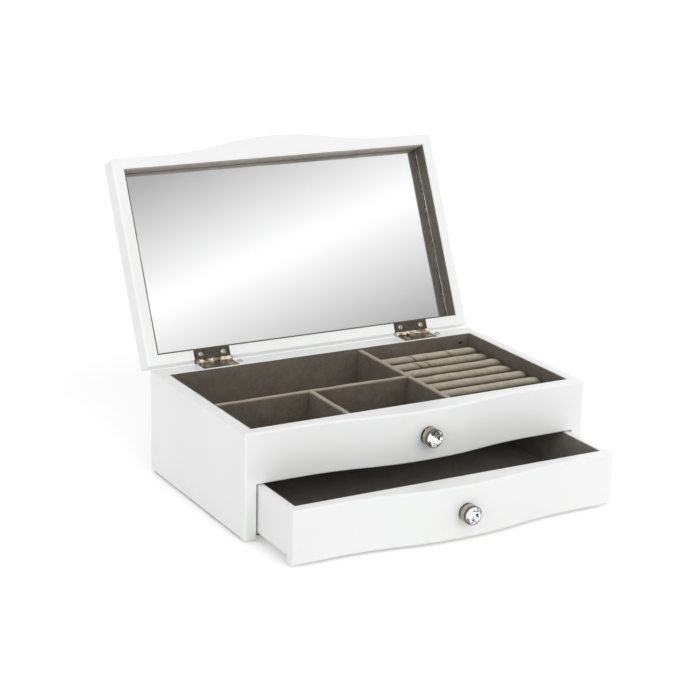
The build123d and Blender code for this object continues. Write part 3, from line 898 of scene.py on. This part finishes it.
def cross_tool():
    """The cutter of a cross recess: two tapered bars."""
    bm = bmesh.new()
    for turn in (0, math.pi / 2):
        made = bmesh.ops.create_cube(bm, size=1)["verts"]
        bmesh.ops.scale(bm, vec=(2.3 * MM, 0.42 * MM, 2.0 * MM), verts=made)
        bmesh.ops.translate(bm, vec=(0, 0, 0.95 * MM), verts=made)
        lower = [v for v in made if v.co.z < 0]
        bmesh.ops.scale(bm, vec=(0.45, 0.6, 1), verts=lower)
        bmesh.ops.rotate(bm, matrix=Matrix.Rotation(turn, 3, "Z"), verts=made)
    tool = bpy.data.meshes.new("cross_tool")
    bm.to_mesh(tool)
    bm.free()
    return tool


def cut_screw_head():
    """The screw head with the recess cut out of it, as a mesh."""
    head = bpy.data.objects.new("screw_head", screw_head())
    tool = bpy.data.objects.new("cross_tool", cross_tool())
    for item in (head, tool):
        bpy.context.scene.collection.objects.link(item)
    cut = head.modifiers.new("recess", "BOOLEAN")
    cut.object = tool
    cut.operation = "DIFFERENCE"
    cut.solver = "EXACT"
    cut.use_self = True
    bpy.context.view_layer.update()
    graph = bpy.context.evaluated_depsgraph_get()
    mesh = bpy.data.meshes.new_from_object(head.evaluated_get(graph))
    for item in (head, tool):
        bpy.data.objects.remove(item)
    return mesh


def hinge_screws(name, node, turned_back, turn, facing):
    """The four screws of one body's hinge leaves, each turned as it was left."""
    low, high = limits(node, turned_back)
    head_radius = (high.y - low.y) / 2
    seat_z = high.z - 0.45 * MM if facing > 0 else low.z + 0.45 * MM
    template = cut_screw_head()
    bm = bmesh.new()
    for side in ("left", "right"):
        leaf_low, leaf_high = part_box(f"hinge_{side}_case_leaf")
        middle = (leaf_low.x + leaf_high.x) / 2
        spread = high.x - head_radius - abs(middle)
        for sign in (-1, 1):
            x = middle + sign * spread
            spin = noise.random() * math.pi / 2
            place = (
                Matrix.Translation((x, (low.y + high.y) / 2, seat_z))
                @ Matrix.Rotation(0 if facing > 0 else math.pi, 4, "X")
                @ Matrix.Rotation(spin, 4, "Z")
            )
            start = len(bm.verts)
            bm.from_mesh(template)
            bm.verts.ensure_lookup_table()
            bmesh.ops.transform(bm, matrix=turn @ place, verts=bm.verts[start:])
    return add_piece(name, bm, [screw_plate], [node], 35)


noise.seed_set(7)
hinge_screws("cross_screws_case", "case_hinge_screws", STANDING, STANDING, 1)
hinge_screws("cross_screws_lid", "lid_hinge_screws", lid_shut, lid_open, -1)


# ------------------------------------------------------------------ knobs and small parts

for owner in ("fascia", "drawer"):
    low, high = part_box(f"{owner}_knob_cup")
    centre = (low + high) / 2
    turned = nickel_finish(f"{owner}_turned_nickel", centre, high.x - 0.02 * MM)
    cup = add_piece(
        f"{owner}_turned_cup", joined(f"{owner}_knob_cup"), [turned],
        [f"{owner}_knob_cup"], 32,
    )
    evened(cup)

for owner in ("fascia", "drawer"):
    bm = joined(f"{owner}_knob_crystal")
    for face in bm.faces:
        face.material_index = 1 if face.normal.y > 0.2 else 0
    add_piece(
        f"{owner}_cut_crystal", bm, [crystal, foil], [f"{owner}_knob_crystal"], 5
    )
    screw = frame["nodes"][f"{owner}_knob_screw"]
    screw.data.materials.clear()
    screw.data.materials.append(zinc)

evened(add_piece(
    "clear_bumper_dots", joined("lid_bumpers"), [clear_plastic], ["lid_bumpers"]
))
covered_card("felt_sheet", "base_felt_sheet", felt)


def lining_tack():
    """A small dark tack head in the rear lining, near the right end of the ring rolls."""
    face_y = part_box("tray_lining_back")[0].y
    bm = bmesh.new()
    bmesh.ops.create_uvsphere(bm, u_segments=24, v_segments=12, radius=1.8 * MM)
    bmesh.ops.scale(bm, vec=(1, 0.45, 0.75), verts=bm.verts)
    bmesh.ops.translate(bm, vec=(0.1263, face_y, 0.0755), verts=bm.verts)
    return add_trim("lining_tack", bm, antique_plate, "case")


lining_tack()


# ------------------------------------------------------------------ studio


def studio_floor():
    """A wide pale floor that keeps the object's shadow."""
    made = Finish("pale_floor")
    paper = made.cloud(3, 2)
    made.set(Base_Color=made.mix(paper, (0.90, 0.90, 0.90), (0.88, 0.88, 0.88)))
    made.set(Roughness=0.9, Specular_IOR_Level=0.1)
    rays = made.add("ShaderNodeLightPath").outputs
    seen = made.sum(rays["Is Camera Ray"], rays["Is Glossy Ray"], "MAXIMUM")
    seen = made.sum(seen, rays["Is Transmission Ray"], "MAXIMUM")
    made.set(Emission_Color=(1.0, 1.0, 1.0, 1.0))
    made.set(Emission_Strength=made.sum(seen, 0.3, "MULTIPLY"))
    bm = bmesh.new()
    bmesh.ops.create_circle(bm, cap_ends=True, segments=96, radius=14)
    bmesh.ops.translate(bm, vec=(0, 0, -0.2 * MM), verts=bm.verts)
    mesh = bpy.data.meshes.new("studio_floor")
    bm.to_mesh(mesh)
    bm.free()
    mesh.materials.append(made.material)
    floor = bpy.data.objects.new("studio_floor", mesh)
    bpy.context.scene.collection.objects.link(floor)
    return floor


studio_floor()


def glossy_card(name, centre, size, finish):
    """A card that only reflections see, facing the box."""
    facing = (Vector((0, 0.1, 0.12)) - centre).normalized()
    bm = bmesh.new()
    bmesh.ops.create_grid(bm, x_segments=1, y_segments=1, size=0.5)
    bmesh.ops.scale(bm, vec=(*size, 1), verts=bm.verts)
    turn = facing.to_track_quat("Z", "Y").to_matrix().to_4x4()
    bmesh.ops.transform(bm, matrix=Matrix.Translation(centre) @ turn, verts=bm.verts)
    mesh = bpy.data.meshes.new(name)
    bm.to_mesh(mesh)
    bm.free()
    mesh.materials.append(finish)
    card = bpy.data.objects.new(name, mesh)
    bpy.context.scene.collection.objects.link(card)
    card.visible_camera = False
    card.visible_diffuse = False
    card.visible_shadow = False
    card.visible_volume_scatter = False
    return card


def glow_finish(name):
    """An empty emission material to be filled in."""
    made = Finish(name)
    made.tree.nodes.remove(made.shader)
    glow = made.add("ShaderNodeEmission")
    output = made.tree.nodes["Material Output"]
    made.tree.links.new(glow.outputs["Emission"], output.inputs["Surface"])
    return made, glow


def sweep_card():
    """The backdrop that the mirror shows: grey, with a bright band across it."""
    made, glow = glow_finish("reflected_sweep")
    outward = Vector((0.448, -0.737, 0.507)).normalized()
    across = outward.cross(Vector((0, 0, 1))).normalized()
    upward = across.cross(outward)
    centre = Vector((0, 0.1308, 0.1538)) + outward * 2.0
    height = made.add("ShaderNodeVectorMath", {0: made.place, 1: upward}, operation="DOT_PRODUCT")
    off = made.sum(height.outputs["Value"], centre.dot(upward), "SUBTRACT")
    off = made.sum(off, 0.0, "ABSOLUTE")
    band = made.spread(off, 0.0, 0.38, 1.06, 0.0)
    made.put(glow.inputs["Strength"], made.sum(band, 0.45, "MAXIMUM"))
    return glossy_card("reflected_sweep", centre, (1.3, 1.1), made.material)


sweep_card()


def set_world():
    """Even white surroundings, white to the camera and to gloss, softer as a light."""
    world = bpy.data.worlds.new("studio_world")
    bpy.context.scene.world = world
    world.use_nodes = True
    tree = world.node_tree
    background = tree.nodes["Background"]
    path = tree.nodes.new("ShaderNodeLightPath")
    seen = path.outputs["Is Camera Ray"]
    for ray in ("Is Glossy Ray", "Is Transmission Ray"):
        either = tree.nodes.new("ShaderNodeMath")
        either.operation = "MAXIMUM"
        tree.links.new(seen, either.inputs[0])
        tree.links.new(path.outputs[ray], either.inputs[1])
        seen = either.outputs[0]
    level = tree.nodes.new("ShaderNodeMapRange")
    level.inputs["To Min"].default_value = 0.57
    level.inputs["To Max"].default_value = 1.0
    tree.links.new(seen, level.inputs["Value"])
    tree.links.new(level.outputs["Result"], background.inputs["Strength"])
    background.inputs["Color"].default_value = (1.0, 1.0, 1.0, 1.0)


def soft_sun(name, towards, strength, spread):
    """A wide soft light from far away."""
    data = bpy.data.lights.new(name, "SUN")
    data.energy = strength
    data.angle = math.radians(spread)
    lamp = bpy.data.objects.new(name, data)
    lamp.matrix_world = Vector(towards).to_track_quat("Z", "Y").to_matrix().to_4x4()
    bpy.context.scene.collection.objects.link(lamp)
    return lamp


def near_lamp(name, at, towards, size, power):
    """A soft round lamp close to the box."""
    data = bpy.data.lights.new(name, "AREA")
    data.energy = power
    data.size = size
    data.shape = "DISK"
    lamp = bpy.data.objects.new(name, data)
    at = Vector(at)
    turn = (at - Vector(towards)).to_track_quat("Z", "Y").to_matrix().to_4x4()
    lamp.matrix_world = Matrix.Translation(at) @ turn
    bpy.context.scene.collection.objects.link(lamp)
    return lamp


set_world()
soft_sun("front_light", (0.1, -1.0, 0.7), 0.96, 50)
soft_sun("left_light", (-1.0, -0.35, 0.2), 0.94, 50)
soft_sun("back_light", (0.9, 0.5, 0.6), 0.5, 50)
near_lamp("right_lamp", (0.9, -0.8, 0.3), (0.1, -0.1, 0.06), 0.5, 0.8)

view = bpy.context.scene.view_settings
view.view_transform = "Standard"
